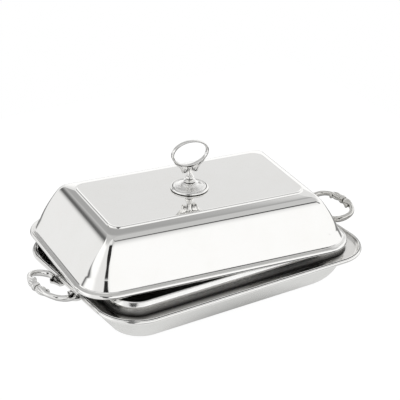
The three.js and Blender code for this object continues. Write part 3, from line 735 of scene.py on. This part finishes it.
def bow_shape():
    """Bow whose ridges wind round it where it swells."""
    half = [
        (HANDLE_REACH * out, HANDLE_SPREAD * aside, HANDLE_LOW + (HANDLE_LIFT - HANDLE_LOW) * rise)
        for out, aside, rise in BOW_SHARES
    ]
    other_half = [(x, -y, z) for x, y, z in reversed(half)]
    path, length = spline([*half, (HANDLE_REACH, 0, HANDLE_LIFT), *other_half], count=221)

    def section(share, angle):
        away = abs(share - 0.5) * length
        outwards, inwards, rise, ridge = table(BOW_SECTION, away)
        wave = 0.5 - 0.5 * math.cos(RIDGES * angle + RIDGE_TWIST * away)
        crease = 1 - ridge * wave ** 3 * RIDGE_DEPTH
        reach = outwards if math.cos(angle) > 0 else inwards
        return reach * math.cos(angle) * crease, rise * math.sin(angle) * crease

    return sweep(path, section, Vector((0, 0, 1)), sides=48)


def scroll_tip(side):
    """Curled leaf tip where a swelling ends on the bow's inner side."""
    return ball((HANDLE_REACH - 5.6, side * 12.6, HANDLE_LIFT - 0.4), (1.7, 2.1, 2.5))


def handle_collar_shape():
    even, _ = spline([(r, y, 0) for y, r in COLLAR_PROFILE], count=60)
    rings = [
        [(HANDLE_REACH + p.x * c, p.y, HANDLE_LIFT + p.x * s) for c, s in circle(sides=40)]
        for p in even
    ]
    return skin(rings, False)


def build_handle(end, turn, material):
    place = Matrix.Translation((DISH_HALF_X * MM, 0, HANDLE_Z * MM))
    place = Matrix.Rotation(turn, 4, "Z") @ place
    shapes = {
        "bow": joined(bow_shape(), scroll_tip(1), scroll_tip(-1)),
        "collar": handle_collar_shape(),
    }
    for part, shape in shapes.items():
        node = end + "_handle_" + part
        make_piece(node + "_skin", shape, place, "base", material, node, sharp=0)


# ---------------------------------------------------------------- finial
# Material slot, metal, and the profile as radius and height
FINIAL_TURNED = {
    "finial_foot_bead": ("polished_silver", jewel, (
        (0, 51.8), (12, 51.8), (17.6, 51.8), (18.3, 51.95), (18.6, 52.4), (18.6, 52.9),
        (18.2, 53.6), (17.6, 54.15), (17.0, 54.2), (16.6, 53.8), (16.2, 53.2), (12, 53.1),
        (0, 53.1),
    )),
    "finial_dome": ("cast_silver", mellow, (
        (0, 53.2), (14, 53.2), (16.1, 53.3), (16.3, 53.8), (15.9, 54.5), (15.2, 54.9),
        (14.7, 54.75), (14.4, 54.5), (14.0, 54.6), (12.2, 55.0), (10.4, 55.5), (9.0, 56.0),
        (8.5, 56.3), (8.3, 56.45), (8.45, 56.8), (8.35, 57.2), (7.7, 57.5), (6.6, 57.9),
        (5.7, 58.3), (5.2, 58.4), (0, 58.4),
    )),
    "finial_knop": ("polished_silver", jewel, (
        (0, 58.5), (4.7, 58.6), (4.6, 58.9), (4.7, 59.2), (5.5, 59.35), (6.0, 59.7), (6.0, 60.2),
        (5.4, 60.6), (4.4, 60.9), (3.6, 61.3), (3.3, 61.7), (0, 61.75),
    )),
    "finial_stem": ("cast_silver", jewel, (
        (0, 61.8), (2.9, 61.9), (3.2, 62.1), (4.0, 62.6), (4.35, 63.4), (4.3, 64.2), (3.7, 65.0),
        (2.9, 65.5), (2.6, 66.0), (2.9, 66.5), (2.8, 67.0), (2.45, 67.6), (2.4, 69.4),
        (2.4, 71.2), (2.5, 72.8), (2.8, 74.2), (3.2, 75.2), (1.5, 75.3), (0, 75.3),
    )),
}
LEAF_SIZE, LEAF_PLACE, LEAF_TILT = (3.2, 2.9, 0.95), (11.4, 55.1), math.radians(16)
RING_HALF_X, RING_HALF_Z, RING_Z = 19.5, 13.3, 88.8
RING_BAND, RING_DEPTH, RING_STEPS, RING_ROUNDNESS = 2.2, 4.6, 160, 0.8
EYE, EYE_SIZE, WEB_HALF = (5.6, 71.4), (1.45, 2.35, 1.45), 1.1
# Angle and reach from the eye's middle, along the scroll
SCROLL = ((80, 1.5), (130, 1.7), (180, 1.95), (225, 2.15), (270, 2.3), (315, 2.4))
# Share along the scroll and leaf, then their half width and half depth
SCROLL_SECTION = (
    (0, 0.55, 1.5), (0.2, 0.7, 1.9), (0.45, 0.85, 2.05), (0.62, 1.1, 2.0), (0.8, 0.85, 1.7),
    (1, 0.2, 0.7),
)


def on_ring(degrees, out=0.3):
    """x and z of a point just outside the ring's outline."""
    angle = math.radians(degrees)
    x, z = (RING_HALF_X + out) * math.cos(angle), (RING_HALF_Z + out) * math.sin(angle)
    return x, RING_Z + z


def dome_leaves():
    """Two pairs of pointed oval leaves in relief, lying on the dome's slope."""
    leaves = []
    for k in range(2):
        for size, lift in ((1.0, 0.0), (0.6, 0.55)):
            away = Matrix.Translation((LEAF_PLACE[0], 0, LEAF_PLACE[1] + lift))
            place = Matrix.Rotation(math.pi * k, 4, "Z") @ away
            place = place @ Matrix.Rotation(LEAF_TILT, 4, "Y")
            sizes = (LEAF_SIZE[0] * size, LEAF_SIZE[1] * size, LEAF_SIZE[2])
            points, faces = ball((0, 0, 0), sizes)
            leaves.append(([tuple(place @ Vector(p)) for p in points], faces))
    return leaves


def ring_shape():
    """Oval ring whose section is a rounded upright band."""
    half_x, half_z = RING_HALF_X - RING_BAND / 2, RING_HALF_Z - RING_BAND / 2
    path = [Vector((half_x * c, 0, RING_Z + half_z * s)) for c, s in circle(RING_STEPS)]
    rings = []
    for i, here in enumerate(path):
        ahead = (path[(i + 1) % RING_STEPS] - path[i - 1]).normalized()
        side = Vector((0, 1, 0)).cross(ahead)
        ring = []
        for c, s in circle(sides=32):
            across = RING_BAND / 2 * math.copysign(abs(c) ** RING_ROUNDNESS, c)
            deep = RING_DEPTH / 2 * math.copysign(abs(s) ** RING_ROUNDNESS, s)
            ring.append(tuple(here + side * across + Vector((0, deep, 0))))
        rings.append(ring)
    return skin(rings, True)


def volute_shape(side):
    """Scroll with a ball for its eye, and a leaf that tapers up along the underside of the ring."""
    start = [
        (EYE[0] + reach * math.cos(math.radians(a)), EYE[1] + reach * math.sin(math.radians(a)))
        for a, reach in SCROLL
    ]
    leaf = [
        (8.2, 72.4), (9.1, 74.5), (11.0, 76.6), on_ring(-47, 0.7), on_ring(-38, 0.4),
        on_ring(-31, 0.1),
    ]
    path, _ = spline([(side * x, 0, z) for x, z in (*start, *leaf)], count=90)

    def section(share, angle):
        across, deep = table(SCROLL_SECTION, share)
        return across * math.cos(angle), deep * math.sin(angle) * (1 - 0.16 * math.cos(angle) ** 6)

    web = [
        (3.3, 75.0), (2.9, 73.2), (3.6, 71.2), (5.6, 70.2), (7.6, 71.5), (8.6, 74.2),
        (10.8, 76.7), on_ring(-45), on_ring(-55), on_ring(-65), on_ring(-74),
    ]
    sheets = [[(side * x, deep, z) for x, z in web] for deep in (-WEB_HALF, WEB_HALF)]
    return joined(
        sweep(path, section, Vector((0, 1, 0)), sides=24), skin(sheets, False),
        ball((side * EYE[0], 0, EYE[1]), EYE_SIZE),
    )


def build_finial():
    for node, (slot, metal, profile) in FINIAL_TURNED.items():
        shape = turned(profile)
        if node == "finial_dome":
            shape = joined(shape, *dome_leaves())
        make_piece(node + "_skin", shape, COVER_PLACE, "finial", metal, node, sharp=0)
    for name, side in (("right", 1), ("left", -1)):
        node = "finial_volute_" + name
        make_piece(
            node + "_skin", volute_shape(side), COVER_PLACE, "finial", mellow, node,
        )
    make_piece(
        "finial_ring_skin", ring_shape(), COVER_PLACE, "finial", jewel,
        "finial_ring", sharp=0,
    )


build_outer_dish()
build_rim_bead()
build_inner_dish()
build_inner_lip()
build_cover_shell()
build_cover_border()
build_handle("right", 0, cast)
# The left handle's lighter metal is painted light.
build_handle("left", math.pi, lit_cast)
build_finial()

# The CAD nodes that stay: four handle feet, and the lock under the crown
for node_name, node_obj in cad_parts.items():
    if node_obj.hide_render:
        continue
    node_obj.data.materials.clear()
    if node_name in ("cover_lock_plate", "finial_stud", "finial_lug_bar"):
        node_obj.data.materials.append(satin)
    # The left handle's feet take the same painted-light copy of the cast metal.
    elif node_name.startswith("left"):
        node_obj.data.materials.append(lit_cast)
    else:
        node_obj.data.materials.append(cast)


# ---------------------------------------------------------------- floor
FLOOR_HALF, FLOOR_COLOUR = 0.45, (0.9, 0.9, 0.9)
FLOOR_SEEN, FLOOR_GLOW_SHARE = 1.12, 0.85
# Glow levels the metal sees on the floor: a painted shadow at the dish's foot, near and far.
FLOOR_FOOT_SHADOW, FLOOR_NEAR, FLOOR_FAR = 0.3, 0.8, 0.16


def build_floor():
    """White paper with the dish's shadow. The glow the metal mirrors is a painted reflection: dim
    right at the dish as a painted shadow, bright near it and out to its left, and dark further
    out elsewhere."""
    mesh = bpy.data.meshes.new("floor")
    corners = [(x * FLOOR_HALF, y * FLOOR_HALF, 0) for x, y in ((-1, -1), (1, -1), (1, 1), (-1, 1))]
    mesh.from_pydata(corners, [], [(0, 1, 2, 3)])
    floor = bpy.data.objects.new("floor", mesh)
    bpy.context.scene.collection.objects.link(floor)
    material = bpy.data.materials.new("floor_paper")
    tree = node_tree(material)
    x, y, _ = split_axes(tree, add(tree, "ShaderNodeTexCoord").outputs["Object"])
    wide = times(tree, x, 0.72)
    reach = math_node(tree, "SQRT", scaled(tree, wide, wide, times(tree, y, y)))
    # Painted reflection for the metal: dim glow at the dish's foot as a painted shadow, brighter
    # out.
    painted_reflection = mix_number(tree, smooth_range(tree, reach, 0.05, 0.105), FLOOR_FOOT_SHADOW, FLOOR_NEAR)
    far = mix_number(tree, smooth_range(tree, x, -0.14, -0.2), FLOOR_FAR, FLOOR_NEAR)
    painted_reflection = mix_number(tree, smooth_range(tree, reach, 0.14, 0.24), painted_reflection, far)
    rays = add(tree, "ShaderNodeLightPath").outputs
    strength = mix_number(tree, rays["Is Camera Ray"], painted_reflection, FLOOR_SEEN)
    glow = add(tree, "ShaderNodeEmission", {"Strength": strength})
    paper = add(tree, "ShaderNodeBsdfDiffuse", {"Color": FLOOR_COLOUR})
    seen = larger(tree, rays["Is Camera Ray"], rays["Is Glossy Ray"])
    both = add(tree, "ShaderNodeMixShader", {
        0: times(tree, seen, FLOOR_GLOW_SHARE), 1: paper.outputs[0], 2: glow.outputs[0],
    })
    add(tree, "ShaderNodeOutputMaterial", {"Surface": both.outputs[0]})
    mesh.materials.append(material)


# ---------------------------------------------------------------- world
# A white tent, described by a direction's height z and by how far it points to the right
# (aside, -1 to 1) and to the back (behind, -1 to 1). A level is the strength of its light.
BACK_STOPS = (
    (0.0, 0.84), (0.25, 0.84), (0.3, 0.76), (0.37, 0.5), (0.45, 0.13), (0.56, 0.12), (0.74, 0.36),
    (1.0, 0.52),
)
SOFT_BACK_STOPS = (
    (0.0, 0.84), (0.25, 0.84), (0.3, 0.76), (0.38, 0.5), (0.5, 0.4), (0.62, 0.42), (0.8, 0.5),
    (1.0, 0.56),
)
OPENING_TURN, OPENING_SHARPNESS, DARKEST = math.radians(39), 160.0, 0.97
NEAR_ONE = 1.0001  # keeps the root for straight up and down above zero


def tent_front(tree, aside, behind, z):
    """Bright to some 33 degrees up, then a seam that deepens to the right, then the grey top."""
    level = mix_number(tree, smooth_range(tree, z, 0.42, 0.85), 1.03, 0.58)
    seam_z = scaled(tree, aside, -0.62, 1.03)
    off_seam = math_node(tree, "ABSOLUTE", minus(tree, z, seam_z))
    depth = scaled(tree, smooth_range(tree, aside, 0.33, 0.48), 0.36, 0.6)
    seam = times(
        tree, smooth_range(tree, off_seam, 0.09, 0.015), depth,
        smooth_range(tree, behind, -0.3, -0.6),
    )
    return times(tree, level, minus(tree, 1.0, seam))


def tent_back(tree, aside, z):
    """A slanting seam, brighter below it than above, and a bright low part at the right."""
    seam_z = scaled(tree, aside, 0.427, 0.419)
    height = scaled(tree, minus(tree, z, seam_z), 2.5, 0.5)
    level = mix_colour(
        tree, smooth_range(tree, aside, -0.3, -0.05), grey_ramp(tree, height, BACK_STOPS),
        grey_ramp(tree, height, SOFT_BACK_STOPS),
    )
    to_right = smooth_range(tree, aside, -0.2, 0.4)
    level = times(tree, level, scaled(tree, to_right, -0.09, 1.03))
    low_right = times(
        tree, smooth_range(tree, aside, 0.2, 0.45), smooth_range(tree, z, 0.42, 0.26),
    )
    return mix_number(tree, low_right, level, 1.06)


def hang_cloth(tree, level, aside, behind, z):
    """A bright cloth to the left, a little less bright towards the camera."""
    cloth = times(
        tree, smooth_range(tree, aside, -0.43, -0.54), smooth_range(tree, z, 0.1, 0.2),
        smooth_range(tree, z, 0.6, 0.45),
    )
    level = mix_number(tree, cloth, level, 1.08)
    dim = times(
        tree, smooth_range(tree, behind, 0.1, -0.2), smooth_range(tree, aside, -0.3, -0.6),
    )
    return mix_number(tree, dim, level, 0.84)


def tent_dark(tree, aside, behind, z):
    """The opening, a wedge that widens upwards, and the dark foot of the front and the back."""
    opening = scaled(
        tree, aside, -math.sin(OPENING_TURN), times(tree, behind, -math.cos(OPENING_TURN)),
    )
    edge = mix_number(tree, smooth_range(tree, z, 0.4, 0.68), 0.988, 0.92)
    past_edge = minus(tree, opening, edge)
    inside = math_node(tree, "MULTIPLY", past_edge, OPENING_SHARPNESS, clamp=True)
    gap = times(tree, inside, smooth_range(tree, z, 0.13, 0.24), smooth_range(tree, z, 0.8, 0.7))
    low_front = times(
        tree, smooth_range(tree, behind, 0.1, -0.25), smooth_range(tree, aside, 0.75, 0.6),
        smooth_range(tree, z, 0.07, 0.02), smooth_range(tree, aside, -0.75, -0.45),
    )
    low_back = times(
        tree, smooth_range(tree, z, -0.12, -0.2), smooth_range(tree, aside, -0.8, -0.55), 0.85,
    )
    return larger(tree, gap, larger(tree, low_front, low_back))


def build_world():
    world = bpy.data.worlds.new("tent")
    bpy.context.scene.world = world
    tree = node_tree(world)
    x, y, z = split_axes(tree, add(tree, "ShaderNodeTexCoord").outputs["Generated"])
    flat = math_node(tree, "SQRT", minus(tree, NEAR_ONE, times(tree, z, z)))
    aside, behind = (math_node(tree, "DIVIDE", part, flat) for part in (x, y))
    level = mix_number(
        tree, smooth_range(tree, behind, 0.25, 0.6), tent_front(tree, aside, behind, z),
        tent_back(tree, aside, z),
    )
    level = hang_cloth(tree, level, aside, behind, z)
    dark = tent_dark(tree, aside, behind, z)
    level = times(tree, level, scaled(tree, dark, -DARKEST, 1.0))
    rays = add(tree, "ShaderNodeLightPath").outputs
    shown = mix_colour(tree, rays["Is Camera Ray"], level, (1.0, 1.0, 1.0))
    background = add(tree, "ShaderNodeBackground", {"Color": shown, "Strength": 1.0})
    add(tree, "ShaderNodeOutputWorld", {"Surface": background.outputs[0]})


# ---------------------------------------------------------------- camera
# Angles, distance in metres, focal length and principal point in pixels, fitted to the photo
AZIMUTH, ELEVATION, ROLL = math.radians(35.15), math.radians(28.63), math.radians(-2.68)
VIEW_DISTANCE, VIEW_FOCUS, VIEW_AIM = 1.43549, 1452.0, (199.0, 244.96)
IMAGE_SIZE, SENSOR_WIDTH, AIM_Z = 400, 36, 41 * MM


def build_camera():
    back = Vector((
        -math.sin(AZIMUTH) * math.cos(ELEVATION), -math.cos(AZIMUTH) * math.cos(ELEVATION),
        math.sin(ELEVATION),
    ))
    right = Vector((math.cos(AZIMUTH), -math.sin(AZIMUTH), 0))
    up = back.cross(right)
    yaw, pitch = (math.atan((aim - IMAGE_SIZE / 2) / VIEW_FOCUS) for aim in VIEW_AIM)
    turn_y = Matrix((
        (math.cos(yaw), 0, math.sin(yaw)), (0, 1, 0), (-math.sin(yaw), 0, math.cos(yaw)),
    ))
    turn_x = Matrix((
        (1, 0, 0), (0, math.cos(pitch), -math.sin(pitch)), (0, math.sin(pitch), math.cos(pitch)),
    ))
    turn_z = Matrix((
        (math.cos(ROLL), -math.sin(ROLL), 0), (math.sin(ROLL), math.cos(ROLL), 0), (0, 0, 1),
    ))
    into_view = turn_x @ turn_y @ turn_z @ Matrix((right, up, -back))
    axes = Matrix((into_view[0], into_view[1], -into_view[2])).transposed()
    data = bpy.data.cameras.new("camera")
    data.sensor_width = SENSOR_WIDTH
    data.lens = VIEW_FOCUS / IMAGE_SIZE * SENSOR_WIDTH
    data.clip_start, data.clip_end = 0.05, 60
    camera = bpy.data.objects.new("camera", data)
    bpy.context.scene.collection.objects.link(camera)
    eye = back * VIEW_DISTANCE + Vector((0, 0, AIM_Z))
    camera.matrix_world = Matrix.Translation(eye) @ axes.to_4x4()
    bpy.context.scene.camera = camera


build_floor()
build_world()
build_camera()
bpy.context.scene.view_settings.view_transform = "Standard"
